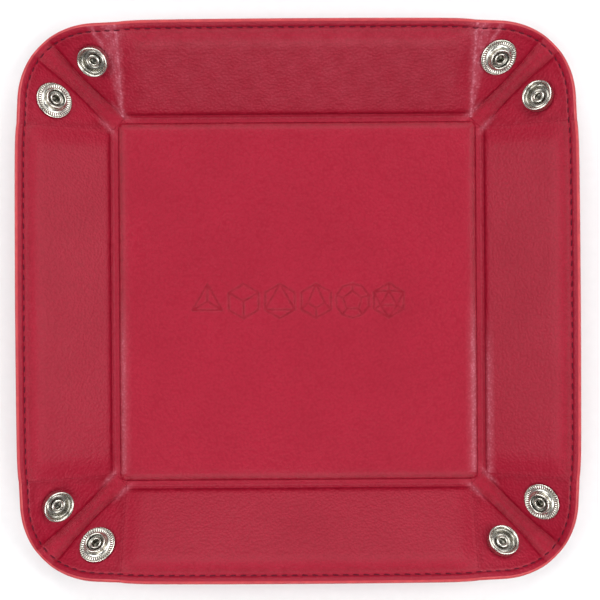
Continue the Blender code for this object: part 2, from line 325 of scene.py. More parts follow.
def make_object(name, points, faces, materials, slots=None, marks=None):
    """Smooth mesh object; marks are named values, one at each point."""
    mesh = bpy.data.meshes.new(name)
    mesh.from_pydata([tuple(point) for point in points], [], faces)
    for mark, values in (marks or {}).items():
        attribute = mesh.attributes.new(mark, "FLOAT", "POINT")
        attribute.data.foreach_set("value", np.clip(values, 0.0, 1.0).astype(np.float32))
    for material in materials:
        mesh.materials.append(material)
    if slots is not None:
        mesh.polygons.foreach_set("material_index", np.array(slots, dtype=np.int32))
    shape = bmesh.new()
    shape.from_mesh(mesh)
    bmesh.ops.remove_doubles(shape, verts=shape.verts, dist=0.0005 * MM)
    bmesh.ops.dissolve_degenerate(shape, edges=shape.edges, dist=0.0005 * MM)
    shape.to_mesh(mesh)
    shape.free()
    mesh.shade_smooth()
    item = bpy.data.objects.new(name, mesh)
    bpy.context.scene.collection.objects.link(item)
    return item


def grid_faces(rows, columns):
    """Four-sided faces of a grid of points, row by row."""
    faces = []
    for i in range(rows - 1):
        for j in range(columns - 1):
            a = i * columns + j
            faces.append((a, a + 1, a + columns + 1, a + columns))
    return faces


def tube_faces(rings, around):
    """Faces of a tube with closed ends."""
    faces = []
    for i in range(rings - 1):
        for j in range(around):
            k = (j + 1) % around
            faces.append((i * around + j, i * around + k, (i + 1) * around + k, (i + 1) * around + j))
    faces.append(tuple(range(around))[::-1])
    faces.append(tuple(range((rings - 1) * around, rings * around)))
    return faces


def outward(flat, faces):
    """Faces turned anticlockwise, seen from above."""
    result = []
    for face in faces:
        corners = flat[list(face)]
        following = np.roll(corners, -1, axis=0)
        area = np.sum(corners[:, 0] * following[:, 1] - corners[:, 1] * following[:, 0])
        result.append(tuple(face) if area > 0.0 else tuple(reversed(face)))
    return result


def sheet_solid(name, flat, faces, top, low, number, face_material, edge_material, pressed=0.0):
    """Closed skin between two heights over a flat mesh, folded, with a painted outer edge."""
    faces = outward(flat, faces)
    count = len(flat)
    upper = fold(np.column_stack([flat, top]))
    lower = fold(np.column_stack([flat, low]))
    points = quarter_turn(np.vstack([upper, lower]), number)
    solid = list(faces)
    solid += [tuple(index + count for index in reversed(face)) for face in faces]
    used = {}
    for face in faces:
        for a, b in zip(face, face[1:] + face[:1]):
            used[(a, b)] = used.get((a, b), 0) + 1
    for a, b in list(used):
        if (b, a) not in used:
            solid.append((b, a, a + count, b + count))
    centres = np.array([flat[[index % count for index in face]].mean(axis=0) for face in solid])
    inset = edge_distance(np.abs(centres[:, 0]), np.abs(centres[:, 1]))
    slots = (inset < 0.75 * MM).astype(int)
    marks = {}
    if face_material is LINING_HIDE:
        marks = {mark: np.tile(values, 2) for mark, values in hide_marks(flat, number).items()}
        # The pressed motif lines take the same deep colour as the painted shade.
        marks["crease"] = np.maximum(marks["crease"], pressed)
    return make_object(name, points, solid, [face_material, edge_material], slots, marks)


# Grids of the flat sheet

EDGE_ROWS = MM * np.array([0.0, 0.02, 0.07, 0.16, 0.3, 0.5, 0.75, 1.0, 1.4, 1.9, 2.3, 2.55, 2.8, 3.1,
                           3.4, 3.65, 3.9, 4.3, 4.34, 4.45, 4.65, 4.95, 5.35, 5.8, 6.3, 7.2])
ROLL = MM * np.array([0.0, 0.04, 0.15, 0.35, 0.65, 1.05, 1.5, 2.0, 2.8])


def spread(start, end, step):
    """Evenly spaced values between two ends, without the ends."""
    count = max(2, int(round(abs(end - start) / step)))
    return np.linspace(start, end, count + 1)[1:-1]


def wall_flat():
    """Grid of the north wall with the fold below it."""
    end = WALL_END - 0.2 * MM
    half = np.concatenate([[0.0], spread(0.0, end - 2.8 * MM, 2.2 * MM), end - ROLL[::-1], [WALL_END]])
    xs = np.concatenate([-half[:0:-1], half])
    panel_low = FLOOR_HALF + PANEL_GAP
    ys = np.concatenate([
        FLOOR_HALF - PANEL_GAP + MM * np.arange(0.0, 4.0, 0.4), panel_low + ROLL,
        spread(panel_low + 2.8 * MM, OUTER - 7.2 * MM, 2.0 * MM), OUTER - EDGE_ROWS[::-1]])
    grid = np.stack(np.meshgrid(xs, ys), axis=-1)
    return grid.reshape(-1, 2), grid_faces(len(ys), len(xs))


def arc_angle(offset, inset):
    """Angle on the corner arc where y - x equals offset."""
    return math.radians(45.0) + np.arcsin(offset / (math.sqrt(2.0) * (CORNER_RADIUS - inset)))


def rim_line(inset):
    """Outline of a flap at this inset, from the wall's end to the crease."""
    tangent = ARC_CENTRE + (CORNER_RADIUS - inset) * np.array([math.cos(ARC_START), math.sin(ARC_START)])
    start = np.array([WALL_END, OUTER - TAPER_SCALE * inset])
    t = np.linspace(0.0, 1.0, 13)[:-1, None] ** 1.4
    line = start + (tangent - start) * t
    angles = ARC_START + (arc_angle(END_INSET, inset) - ARC_START) * np.sin(np.linspace(0, math.pi / 2, 26))
    radius = CORNER_RADIUS - inset
    arc = ARC_CENTRE + radius * np.column_stack([np.cos(angles), np.sin(angles)])
    return np.vstack([line, arc])


def flap_flat():
    """Grid of the flap at the wall's east end, from its outer edge in to the floor's corner."""
    rows = [rim_line(inset) for inset in EDGE_ROWS]
    innermost = rows[-1]
    corner = np.array([WALL_END, FLOOR_HALF])
    for t in np.linspace(1.0, 0.0, 24)[1:]:
        rows.append(corner + (innermost - corner) * t)
    grid = np.array(rows)
    return grid.reshape(-1, 2), grid_faces(grid.shape[0], grid.shape[1])


def pleat_flat():
    """Grid of the pleat between two flaps."""
    across = END_INSET * np.sin(np.linspace(-math.pi / 2.0, math.pi / 2.0, 17))
    rows = []
    for inset in EDGE_ROWS:
        angles = arc_angle(across, inset)
        radius = CORNER_RADIUS - inset
        rows.append(ARC_CENTRE + radius * np.column_stack([np.cos(angles), np.sin(angles)]))
    foot_sum = 2.0 * FLOOR_HALF - END_INSET
    foot = np.column_stack([(foot_sum - across) / 2.0, (foot_sum + across) / 2.0])
    innermost = rows[-1]
    steps = np.concatenate([np.linspace(1.0, 0.06, 26)[1:], [0.045, 0.03, 0.015, 0.0]])
    for t in steps:
        rows.append(foot + (innermost - foot) * t)
    grid = np.array(rows)
    return grid.reshape(-1, 2), grid_faces(grid.shape[0], grid.shape[1])


# The pressed motif: a row of dice outlines

MOTIF_PITCH = 14.2 * MM
MOTIF_RADIUS = 6.7 * MM
MOTIF_DEPTH = 0.22 * MM
MOTIF_LINE = 0.50 * MM


def ring_of(sides, turn, radius=1.0):
    """Corners of a regular polygon."""
    return [radius * np.array([math.cos(turn + 2.0 * math.pi * i / sides),
                               math.sin(turn + 2.0 * math.pi * i / sides)]) for i in range(sides)]


def loop_of(points):
    """Segments round a closed outline."""
    return list(zip(points, points[1:] + points[:1]))


def dice_outlines():
    """Line segments of six dice, each about a unit across, left to right."""
    up = math.pi / 2.0
    centre = np.zeros(2)
    triangle = ring_of(3, up)
    tetra = loop_of(triangle) + [(centre, corner) for corner in triangle]
    hexagon = ring_of(6, up)
    cube = loop_of(hexagon) + [(centre, hexagon[i]) for i in (1, 3, 5)]
    octa = loop_of(hexagon) + loop_of([hexagon[0], hexagon[2], hexagon[4]])
    left, right, foot = np.array([-0.5, -0.12]), np.array([0.5, -0.12]), np.array([0.0, -0.42])
    deca = loop_of(hexagon) + loop_of([0.99 * hexagon[0], left, foot, right])
    deca += [(left, hexagon[2]), (right, hexagon[4]), (foot, hexagon[3])]
    decagon = ring_of(10, up)
    pentagon = ring_of(5, up, 0.58)
    dodeca = loop_of(decagon) + loop_of(pentagon) + list(zip(pentagon, decagon[::2]))
    inner = ring_of(3, up, 0.56)
    icosa = loop_of(hexagon) + loop_of(inner)
    for i in range(3):
        icosa += [(inner[i], hexagon[(2 * i + step) % 6]) for step in (-1, 0, 1)]
    return [tetra, cube, octa, deca, dodeca, icosa]


def motif_depth(x, y):
    """Depth of the pressed lines under the floor's face."""
    nearest = np.full(x.shape, 1.0)
    for place, segments in enumerate(dice_outlines()):
        shift = np.array([(place - 2.5) * MOTIF_PITCH, 0.0])
        near = (np.abs(x - shift[0]) < 8.0 * MM) & (np.abs(y) < 8.0 * MM)
        points = np.column_stack([x[near], y[near]])
        best = nearest[near]
        for a, b in segments:
            start = shift + MOTIF_RADIUS * np.asarray(a)
            along = MOTIF_RADIUS * (np.asarray(b) - np.asarray(a))
            t = np.clip((points - start) @ along / (along @ along), 0.0, 1.0)
            gap = points - start - t[:, None] * along
            best = np.minimum(best, np.hypot(gap[:, 0], gap[:, 1]))
        nearest[near] = best
    return MOTIF_DEPTH * (1.0 - ease((nearest - 0.5 * MOTIF_LINE) / (0.6 * MOTIF_LINE)))


def floor_flat(fine):
    """Grid of the floor, out to the folds and to the foot of each pleat."""
    limit = FLOOR_HALF - PANEL_GAP
    roll = limit - ROLL[::-1]
    corner = np.linspace(WALL_END, FLOOR_HALF, 9)
    roll = roll[roll < WALL_END - 0.1 * MM]
    tail = np.unique(np.concatenate([corner, limit - ROLL[limit - ROLL > WALL_END]]))
    tail = np.unique(np.concatenate([tail, 2.0 * FLOOR_HALF - END_INSET - tail]).round(9))
    start = roll[0] if len(roll) else WALL_END
    half_x, half_y = 46.0 * MM, 9.0 * MM
    def axis(half, step):
        inner = np.arange(0.0, half, step) if fine else np.arange(0.0, half, 2.0 * MM)
        mid = spread(half, start, 2.2 * MM)
        positive = np.concatenate([inner, [half], mid, [start], roll[1:], tail])
        positive = np.unique(positive.round(9))
        return np.concatenate([-positive[:0:-1], positive])
    xs, ys = axis(half_x, 0.28 * MM), axis(half_y, 0.28 * MM)
    grid = np.stack(np.meshgrid(xs, ys), axis=-1)
    flat = grid.reshape(-1, 2)
    faces = []
    foot_sum = 2.0 * FLOOR_HALF - END_INSET + 1e-8
    for face in grid_faces(len(ys), len(xs)):
        corners = flat[list(face)]
        reach = np.abs(corners)
        centre = reach.mean(axis=0)
        if (centre > limit).any() and (centre < WALL_END).any():
            continue
        inside = reach.sum(axis=1) <= foot_sum
        kept = tuple(index for index, is_in in zip(face, inside) if is_in)
        if len(kept) >= 3:
            faces.append(kept)
    used = sorted({index for face in faces for index in face})
    renumber = {old: new for new, old in enumerate(used)}
    return flat[used], [tuple(renumber[index] for index in face) for face in faces]


# Materials

def nodes_of(name):
    material = bpy.data.materials.new(name)
    material.use_nodes = True
    tree = material.node_tree
    return material, tree, tree.nodes["Principled BSDF"]


def add(tree, kind, **values):
    node = tree.nodes.new(kind)
    for key, value in values.items():
        if hasattr(node, key):
            setattr(node, key, value)
        else:
            node.inputs[key.replace("_", " ")].default_value = value
    return node


def noise(tree, place, size, detail=3.0):
    """Noise whose features are about size across."""
    node = add(tree, "ShaderNodeTexNoise", Scale=1.0 / size, Detail=detail)
    tree.links.new(place, node.inputs["Vector"])
    return node.outputs["Fac"]


def cells(tree, place, size):
    """Rounded pebbles about size across."""
    node = add(tree, "ShaderNodeTexVoronoi", Scale=1.0 / size)
    tree.links.new(place, node.inputs["Vector"])
    return node.outputs["Distance"]


def mapped(tree, value, low, high, to_low, to_high):
    node = add(tree, "ShaderNodeMapRange", From_Min=low, From_Max=high, To_Min=to_low, To_Max=to_high)
    tree.links.new(value, node.inputs["Value"])
    return node.outputs["Result"]


def mixed(tree, factor, first, second):
    node = add(tree, "ShaderNodeMix", data_type="RGBA")
    tree.links.new(factor, node.inputs["Factor"])
    for socket, value in ((node.inputs[6], first), (node.inputs[7], second)):
        if isinstance(value, tuple):
            socket.default_value = value + (1.0,)
        else:
            tree.links.new(value, socket)
    return node.outputs[2]


def sums(tree, first, second, weight):
    """first + second * weight."""
    node = add(tree, "ShaderNodeMath", operation="MULTIPLY_ADD")
    tree.links.new(second, node.inputs[0])
    node.inputs[1].default_value = weight
    tree.links.new(first, node.inputs[2])
    return node.outputs[0]


def bump(tree, shader, height, distance):
    """Relief of this depth on the shader."""
    node = add(tree, "ShaderNodeBump", Distance=distance)
    tree.links.new(height, node.inputs["Height"])
    tree.links.new(node.outputs["Normal"], shader.inputs["Normal"])


def leather(name, light, dark, deep, pale, grain, relief, roughness):
    """Grained leather: light and dark hides, painted shade in the folds, and a pale colour that is partly
    rubbed whitening and partly painted highlight.
    """
    material, tree, shader = nodes_of(name)
    place = add(tree, "ShaderNodeTexCoord").outputs["Object"]
    pebble = cells(tree, place, grain)
    fine = noise(tree, place, 0.35 * MM, 4.0)
    blotch = noise(tree, place, 26.0 * MM, 4.0)
    mottle = noise(tree, place, 2.6 * MM, 3.0)
    colour = mixed(tree, mapped(tree, sums(tree, blotch, mottle, 0.55), 0.5, 1.1, 0.0, 0.8), light, dark)
    # Painted shade: the crevices between the pebbles take the deep colour.
    colour = mixed(tree, mapped(tree, pebble, 0.35, 0.85, 0.0, 0.3), colour, deep)
    broad = mapped(tree, sums(tree, mottle, fine, 0.5), 0.5, 1.0, 0.25, 1.0)
    speckled = mapped(tree, sums(tree, pebble, fine, -0.4), -0.05, 0.30, 0.8, 0.36)
    # Painted shade takes the deep colour; the pale colour is partly rubbed whitening and partly painted
    # highlight.
    for attribute, hue, spread_of in (("crease", deep, broad), ("wear", pale, speckled)):
        amount = add(tree, "ShaderNodeAttribute", attribute_name=attribute).outputs["Fac"]
        broken = add(tree, "ShaderNodeMath", operation="MULTIPLY", use_clamp=True)
        tree.links.new(amount, broken.inputs[0])
        tree.links.new(spread_of, broken.inputs[1])
        colour = mixed(tree, broken.outputs[0], colour, hue)
    tree.links.new(colour, shader.inputs["Base Color"])
    gloss = sums(tree, blotch, fine, 0.6)
    tree.links.new(mapped(tree, gloss, 0.5, 1.1, roughness - 0.06, roughness + 0.08),
                   shader.inputs["Roughness"])
    shader.inputs["Specular IOR Level"].default_value = 0.14
    shader.inputs["Coat Weight"].default_value = 0.15
    shader.inputs["Coat Roughness"].default_value = 0.33
    shader.inputs["Coat IOR"].default_value = 1.45
    height = sums(tree, mapped(tree, pebble, 0.0, 0.8, 1.0, 0.0), fine, 0.5)
    height = sums(tree, height, mottle, 0.8)
    bump(tree, shader, height, relief)
    return material


def edge_paint():
    """Red paint on the cut edge, brighter than the leather partly as a painted highlight where the rounded
    edge catches light.
    """
    material, tree, shader = nodes_of("edge_paint")
    place = add(tree, "ShaderNodeTexCoord").outputs["Object"]
    drift = noise(tree, place, 3.0 * MM, 3.0)
    tree.links.new(mixed(tree, mapped(tree, drift, 0.35, 0.7, 0.0, 1.0),
                         (0.50, 0.040, 0.046), (0.40, 0.024, 0.036)), shader.inputs["Base Color"])
    tree.links.new(mapped(tree, drift, 0.3, 0.7, 0.38, 0.5), shader.inputs["Roughness"])
    bump(tree, shader, noise(tree, place, 0.8 * MM, 4.0), 0.06 * MM)
    return material


def sewing_thread():
    """Dark twisted thread."""
    material, tree, shader = nodes_of("sewing_thread")
    place = add(tree, "ShaderNodeTexCoord").outputs["Object"]
    fibre = noise(tree, place, 0.18 * MM, 4.0)
    tree.links.new(mixed(tree, mapped(tree, fibre, 0.3, 0.7, 0.0, 1.0),
                         (0.055, 0.001, 0.007), (0.13, 0.003, 0.018)), shader.inputs["Base Color"])
    shader.inputs["Roughness"].default_value = 0.62
    shader.inputs["Specular IOR Level"].default_value = 0.2
    twist = add(tree, "ShaderNodeTexWave", Scale=1.0 / (0.9 * MM), Distortion=1.5, bands_direction="DIAGONAL")
    tree.links.new(place, twist.inputs["Vector"])
    bump(tree, shader, sums(tree, twist.outputs["Fac"], fibre, 0.6), 0.05 * MM)
    return material


def nickel():
    """Plated metal, with painted shade darkening its hollows."""
    material, tree, shader = nodes_of("nickel_plate")
    place = add(tree, "ShaderNodeTexCoord").outputs["Object"]
    haze = noise(tree, place, 1.6 * MM, 4.0)
    scuff = noise(tree, place, 0.25 * MM, 3.0)
    plate = mixed(tree, mapped(tree, haze, 0.35, 0.7, 0.0, 1.0), (0.64, 0.615, 0.55), (0.54, 0.52, 0.46))
    # Painted shade in the hollows takes the dark colour.
    soil = add(tree, "ShaderNodeAttribute", attribute_name="soil").outputs["Fac"]
    tree.links.new(mixed(tree, soil, plate, (0.055, 0.052, 0.036)), shader.inputs["Base Color"])
    shader.inputs["Metallic"].default_value = 1.0
    gloss = mapped(tree, sums(tree, haze, scuff, 0.5), 0.45, 1.0, 0.20, 0.30)
    tree.links.new(gloss, shader.inputs["Roughness"])
    bump(tree, shader, scuff, 0.003 * MM)
    return material


def board_fibre():
    """Paperboard."""
    material, tree, shader = nodes_of("board_fibre")
    place = add(tree, "ShaderNodeTexCoord").outputs["Object"]
    pulp = noise(tree, place, 1.2 * MM, 5.0)
    tree.links.new(mixed(tree, mapped(tree, pulp, 0.3, 0.7, 0.0, 1.0),
                         (0.30, 0.25, 0.19), (0.42, 0.36, 0.28)), shader.inputs["Base Color"])
    shader.inputs["Roughness"].default_value = 0.85
    bump(tree, shader, pulp, 0.1 * MM)
    return material


# Colours: light and dark hide, deep for painted shade, pale for rubbed whitening and painted highlights.
HIDE = ((0.330, 0.0085, 0.029), (0.280, 0.0055, 0.022), (0.205, 0.0, 0.010), (0.80, 0.32, 0.40))
LINING_HIDE = leather("lining_leather", *HIDE, 1.0 * MM, 0.17 * MM, 0.42)
COVER_HIDE = leather("cover_leather", *HIDE, 1.1 * MM, 0.09 * MM, 0.46)
EDGE = edge_paint()
THREAD = sewing_thread()
NICKEL = nickel()
BOARD = board_fibre()


def hide_marks(flat, number):
    """Painted shade in the folds and grooves, and rubbed whitening with painted highlights, at each flat
    point of side number.
    """
    x, y = np.abs(flat[:, 0]), np.abs(flat[:, 1])
    inset = edge_distance(x, y)
    panel = panel_distance(x, y)
    along = along_diagonal(x, y)
    diagonal = np.abs(y - x) / math.sqrt(2.0)
    # Painted shade: along the gutters by the hinges, in and across the pleats, in the seam's groove, and a
    # deeper tone along two bands near the outer edge.
    crease = groove(panel - 0.7 * MM, 1.0 * MM) * (panel_in_gutter(x, y) + 0.15)
    line = groove(diagonal - PLEAT_HALF - crease_shift(along) + 0.3 * MM, 2.3 * MM)
    line = np.maximum(line, 0.30 * (1.0 - ease((diagonal - PLEAT_HALF) / (1.5 * MM))))
    crease = np.maximum(crease, line * ease((along + 3.0 * MM) / (8.0 * MM)))
    crease = np.maximum(crease, 0.6 * groove(inset - SEAM_INSET, 0.5 * MM))
    crease = np.maximum(crease, 0.5 * groove(inset - 4.8 * MM, 1.3 * MM))
    # Pale streaks at each wall's end: partly whitened stress lines and partly painted highlight, strong on
    # the north side only.
    end_whitening_and_highlight = 0.8 if number == 0 else 0.05
    height = y - FLOOR_HALF
    # Painted shade in the fold at each wall's end, on every side but the north.
    end_fold_shade = 0.55 * groove(x - WALL_END - 1.0 * MM, 1.5 * MM) * ease(height / (6.0 * MM))
    crease = np.maximum(crease, end_fold_shade * (number > 0))
    crease = np.maximum(crease, 0.35 * groove(inset - 1.9 * MM, 0.9 * MM))
    wear = 0.6 * groove(x - WALL_END - 0.5 * MM - 0.06 * height, 0.6 * MM + 0.085 * height)
    wear = np.maximum(wear, groove(x - WALL_END - 0.5 * MM, 0.8 * MM)) * (height > 0.0)
    branch = groove(x - WALL_END - 0.6 * MM - 0.55 * (height - 20.0 * MM), 1.0 * MM)
    wear = np.maximum(wear, 0.8 * branch * ease((height - 20.0 * MM) / (6.0 * MM)))
    wear = end_whitening_and_highlight * wear * (0.75 + 0.5 * waves(11.0 * x, 11.0 * y))
    # On the north wall: painted shade deepens the whole face, and faint painted highlights speckle it in
    # patches.
    if number == 0:
        face = ease(height / (9.0 * MM)) * ease((inset - 3.5 * MM) / (3.0 * MM)) * (x < WALL_END)
        patches = 0.5 + 0.5 * waves(4.0 * flat[:, 0], 4.0 * flat[:, 1])
        wear = np.maximum(wear, face * 0.06 * patches)
        crease = np.maximum(crease, 0.45 * (height > 0.0) * (x < WALL_END) * (1.0 - 0.5 * patches))
    # Painted highlights along the rolls beside the gutters.
    wear = np.maximum(wear, roll_highlight(flat, number))
    # Painted highlight at the foot of each pleat, beside its crease.
    foot = groove(along - 3.0 * MM, 4.0 * MM) * (np.maximum(x, y) > WALL_END)
    wear = np.maximum(wear, 0.45 * foot * groove(diagonal - PLEAT_HALF - 1.2 * MM, 1.2 * MM))
    return {"crease": crease * (1.0 - np.clip(wear, 0.0, 1.0)), "wear": wear}


def roll_highlight(flat, number):
    """Painted highlights on the rolls beside the east gutter, and fainter ones beside the west gutter."""
    x, y = flat[:, 0], flat[:, 1]
    if number == 1:
        roll = groove(y - FLOOR_HALF - PANEL_GAP - 1.9 * MM, 1.3 * MM) * (np.abs(x) < WALL_END)
        return 0.45 * roll * ease((x - 2.0 * MM) / (30.0 * MM)) * (0.8 + 0.3 * waves(8.0 * x, 8.0 * y))
    on_floor = (np.abs(y) < WALL_END) * (number == 0)
    roll = groove(FLOOR_HALF - PANEL_GAP - 1.5 * MM - np.abs(x), 1.2 * MM) * on_floor
    lower = ease((10.0 * MM - y) / (35.0 * MM)) * (0.8 + 0.3 * waves(8.0 * x, 8.0 * y))
    return np.where(x > 0.0, 0.5, 0.3) * roll * lower


def panel_in_gutter(x, y):
    """1 along the walls' hinges, 0 along the outer edge."""
    return 1.0 - ease((np.maximum(x, y) - FLOOR_HALF - 5.0 * MM) / (8.0 * MM))


# The sewn leather

def lining_heights(flat):
    """Face and back of the lining."""
    top = top_height(flat[:, 0], flat[:, 1])
    return top, np.minimum(np.maximum(top - LINING, 0.05 * MM), 0.5 * top)


def cover_heights(flat):
    """Back and face of the cover."""
    low = low_height(flat[:, 0], flat[:, 1])
    return np.maximum(-0.05 * MM, 0.5 * low), low


def make_lining(name, flat, faces, number):
    top, low = lining_heights(flat)
    return sheet_solid(name, flat, faces, top, low, number, LINING_HIDE, EDGE)


def make_cover(name, flat, faces, number):
    top, low = cover_heights(flat)
    return sheet_solid(name, flat, faces, top, low, number, COVER_HIDE, EDGE)


def placed(x, y, z, number):
    """A flat point, folded and carried round to side number."""
    return quarter_turn(fold(np.array([[x, y, z]])), number)[0]


def bend_over(item, start, end, number):
    tuple(placed(*start, 0.0, number))
    tuple(placed(*end, 0.0, number))
    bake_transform(item)


def build_side(side, number):
    """Wall, two flaps and the pleat of one side."""
    wall, pleat = side + "_wall", side + "_pleat"
    for make, kind, node in ((make_lining, "lining", "liner"), (make_cover, "outside", "cover")):
        sheet = make(f"{wall}_{kind}", *wall_flat(), number)
        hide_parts(f"{wall}_{node}")
        bend_over(sheet, (0.0, FLOOR_HALF - 2.0 * MM), (0.0, FLOOR_HALF + 2.0 * MM), number)
        middle = FLOOR_HALF + 20.0 * MM
        for end, flap in ((-1.0, side + "_socket_flap"), (1.0, side + "_stud_flap")):
            flat, faces = flap_flat()
            sheet = make(f"{flap}_{kind}", flat * np.array([end, 1.0]), faces, number)
            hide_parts(flap)
            bend_over(sheet, (end * WALL_END, middle),
                      (end * (WALL_END + 2.4 * MM), middle), number)
        sheet = make(f"{pleat}_{kind}", *pleat_flat(), number)
        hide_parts(pleat)
        middle = 20.0 * MM / math.sqrt(2.0)
        near = np.array([WALL_END, FLOOR_HALF]) + middle
        inside = near + 1.2 * MM * np.array([1.0, -1.0]) / math.sqrt(2.0)
        bend_over(sheet, tuple(near), tuple(inside), number)


def make_core(node, xs, ys, number, body):
    """Board between the lining and the cover, its top following the lining's back."""
    grid = np.stack(np.meshgrid(xs, ys), axis=-1).reshape(-1, 2)
    back = lining_heights(grid)[1]
    top, low = back - 0.02 * MM, np.full(len(grid), -0.03 * MM)
    core = sheet_solid(body + "_core", grid, grid_faces(len(ys), len(xs)), top, low, number, BOARD, BOARD)
    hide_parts(node)
    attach(core, body)


# Stitches

def seam_path():
    """Flat seam line of the north-east quarter, from the wall's middle to the pleat's middle."""
    inset = SEAM_INSET
    radius = CORNER_RADIUS - inset
    tangent = ARC_CENTRE + radius * np.array([math.cos(ARC_START), math.sin(ARC_START)])
    end = np.array([WALL_END, OUTER - TAPER_SCALE * inset])
    straight = np.column_stack([np.linspace(0.0, WALL_END, 60), np.full(60, OUTER - inset)])[:-1]
    slope = end + (tangent - end) * np.linspace(0.0, 1.0, 12)[:-1, None]
    angles = np.linspace(ARC_START, math.radians(45.0), 60)
    arc = ARC_CENTRE + radius * np.column_stack([np.cos(angles), np.sin(angles)])
    return np.vstack([straight, slope, arc])


def stitch_points():
    """Centre and direction of every stitch of the quarter."""
    path = seam_path()
    lengths = np.concatenate([[0.0], np.cumsum(np.hypot(*np.diff(path, axis=0).T))])
    count = int(round(lengths[-1] / STITCH_PITCH))
    result = []
    for i in range(count):
        here = (i + 0.5) * lengths[-1] / count
        before, after = (np.array([np.interp(here + step, lengths, path[:, axis]) for axis in (0, 1)])
                         for step in (-0.3 * MM, 0.3 * MM))
        direction = (after - before) / np.hypot(*(after - before))
        result.append(((before + after) / 2.0, direction))
    return result


STITCH_HALF = 1.42 * MM
STITCH_RADIUS = 0.24 * MM
STITCH_RINGS = 11
STITCH_ROUND = 8


def stitch_mesh(centre, direction, mirror, face):
    """Flat-sheet points and heights of one stitch, slightly slanted, its ends sunk in the hide."""
    slant = math.radians(7.0) * face
    c, s = math.cos(slant), math.sin(slant)
    direction = np.array([c * direction[0] - s * direction[1], s * direction[0] + c * direction[1]])
    across = np.array([-direction[1], direction[0]])
    t = np.linspace(-1.0, 1.0, STITCH_RINGS)
    turn = np.linspace(0.0, 2.0 * math.pi, STITCH_ROUND, endpoint=False)
    size = STITCH_RADIUS * np.sqrt(np.maximum(0.0, 1.0 - np.abs(t) ** 3.0)) + 0.03 * MM
    middle = centre + t[:, None] * STITCH_HALF * direction
    height_at = top_height if face > 0 else low_height
    base = height_at(middle[:, 0], middle[:, 1]) + face * MM * (0.10 - 0.42 * np.abs(t) ** 3.5)
    flat = middle[:, None, :] + (size[:, None] * np.cos(turn))[:, :, None] * across
    height = base[:, None] + size[:, None] * np.sin(turn) * 0.85
    points = np.concatenate([flat, height[:, :, None]], axis=2).reshape(-1, 3)
    points[:, 0] *= mirror
    faces = tube_faces(STITCH_RINGS, STITCH_ROUND)
    if mirror < 0.0:
        faces = [corners[::-1] for corners in faces]
    return points, faces


def build_stitches(side, number):
    """Both faces of the seam along one side, a piece for each body."""
    groups = {}
    for centre, direction in stitch_points():
        if centre[0] < WALL_END:
            homes = ((side + "_wall", 1.0, False), (side + "_wall", -1.0, False))
        elif (centre[1] - centre[0]) / math.sqrt(2.0) > PLEAT_HALF:
            homes = ((side + "_stud_flap", 1.0, False), (side + "_socket_flap", -1.0, False))
        else:
            homes = ((side + "_pleat", 1.0, False), (side + "_pleat", 1.0, True))
        for body, mirror, swap in homes:
            for face in (1, -1):
                points, faces = stitch_mesh(centre, direction, mirror, face)
                if swap:
                    points = swapped(points)
                    faces = [corners[::-1] for corners in faces]
                groups.setdefault(body, []).append((points, faces))
    for body, stitches in groups.items():
        all_points, all_faces, start = [], [], 0
        for points, faces in stitches:
            all_points.append(points)
            all_faces += [tuple(start + index for index in face) for face in faces]
            start += len(points)
        folded = quarter_turn(fold(np.vstack(all_points)), number)
        item = make_object(body + "_stitches", folded, all_faces, [THREAD])
        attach(item, body)
        if not body.endswith("_pleat"):
            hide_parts(body + "_thread")


# Snaps: closed (radius, height) profiles in millimetres, heights from the lining's face

OUTSIDE = -2.0 * SKIN / MM
SOCKET = ((5.7, 0.3), (2.15, 0.3), (2.15, 0.80), (2.75, 0.80), (2.95, 0.98), (3.75, 0.98), (3.95, 0.80),
          (4.75, 0.80), (5.15, 1.05), (5.20, 2.15), (5.02, 2.40), (5.10, 2.75), (5.40, 3.20), (5.90, 3.25),
          (6.20, 2.95), (6.20, 2.40), (6.05, 1.80), (6.20, 0.8))
STUD = ((7.10, 0.3), (3.6, 0.3), (3.6, 1.4), (2.15, 1.4), (2.15, 1.9), (3.20, 1.9), (3.32, 2.90),
        (3.55, 3.22), (3.95, 3.22), (4.24, 2.85), (4.24, 2.45), (4.05, 1.75), (4.25, 1.20), (4.70, 0.85),
        (5.15, 0.72), (6.60, 0.72), (6.80, 0.98), (7.15, 0.98), (7.30, 0.70))
CAP = ((0.0, 0.10), (1.35, 0.10), (1.35, 1.25), (1.50, 1.62), (2.05, 1.66),
       (2.50, 1.40), (2.50, 1.10), (1.85, 1.10), (1.85, OUTSIDE - 0.25), (7.20, OUTSIDE - 0.25),
       (7.40, OUTSIDE - 0.55), (6.50, OUTSIDE - 1.25), (4.50, OUTSIDE - 1.82), (2.3, OUTSIDE - 2.06),
       (0.0, OUTSIDE - 2.12))
POST = ((0.0, 0.10), (1.50, 0.10), (1.50, 2.35), (1.66, 2.66), (2.00, 2.72), (2.35, 2.45), (2.35, 2.15),
        (1.85, 2.15), (1.85, OUTSIDE - 0.25), (5.45, OUTSIDE - 0.25), (5.55, OUTSIDE - 0.60),
        (5.30, OUTSIDE - 1.0), (4.60, OUTSIDE - 1.22), (3.10, OUTSIDE - 1.22), (2.70, OUTSIDE - 1.02),
        (2.30, OUTSIDE - 1.22), (1.75, OUTSIDE - 1.20), (1.45, OUTSIDE - 0.9), (1.40, OUTSIDE - 0.5),
        (0.0, OUTSIDE - 0.4))
SPRING_RADIUS = 4.82 * MM
SPRING_WIRE = 0.25 * MM
SPRING_HEIGHT = 1.7 * MM
SPRING_OPENING = math.radians(24.0)


def softened(profile, radius):
    """Profile with each corner cut twice, by no more than radius."""
    points = [np.array(point) for point in profile]
    closed = profile[0][0] > 0.0
    for reach in (radius, 0.35 * radius):
        result = []
        for i, point in enumerate(points):
            if not closed and i in (0, len(points) - 1):
                result.append(point)
                continue
            for other in (points[i - 1], points[(i + 1) % len(points)]):
                away = other - point
                length = np.hypot(*away)
                result.append(point + away * min(0.3, reach / length))
        points = result
    return points, closed


